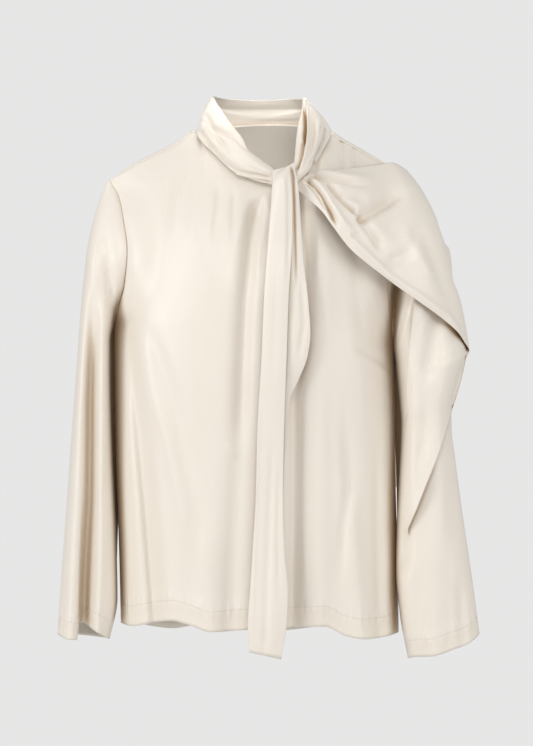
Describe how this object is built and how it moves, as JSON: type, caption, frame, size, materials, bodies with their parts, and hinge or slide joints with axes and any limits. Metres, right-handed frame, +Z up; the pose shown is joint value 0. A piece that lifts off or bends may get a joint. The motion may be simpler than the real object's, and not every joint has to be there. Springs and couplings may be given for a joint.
{
  "type": "blouse",
  "caption": "Long-sleeved satin blouse, filled out as if worn, with a scarf tied at the neck: an end hangs in front and an end goes over the left shoulder.",
  "frame": {"origin": "centre line of the neck, level with the neck ends of the shoulder seams, where the wearer's shoulders hold the blouse", "axes": "+Z up, from hem to neck; -Y out of the front; +X towards the wearer's left"},
  "size_m": [0.551, 0.2498, 0.7348],
  "materials": {
    "satin": "ivory satin, smooth and softly shining"
  },
  "bodies": {
    "root": {"front": "satin", "back": "satin", "sleeve_right": "satin", "sleeve_left": "satin", "neck_band": "satin", "neck_strap": "satin", "scarf_knot": "satin", "scarf_drape": "satin", "scarf_tail": "satin", "scarf_tail_edge": "satin"}
  },
  "joints": []
}
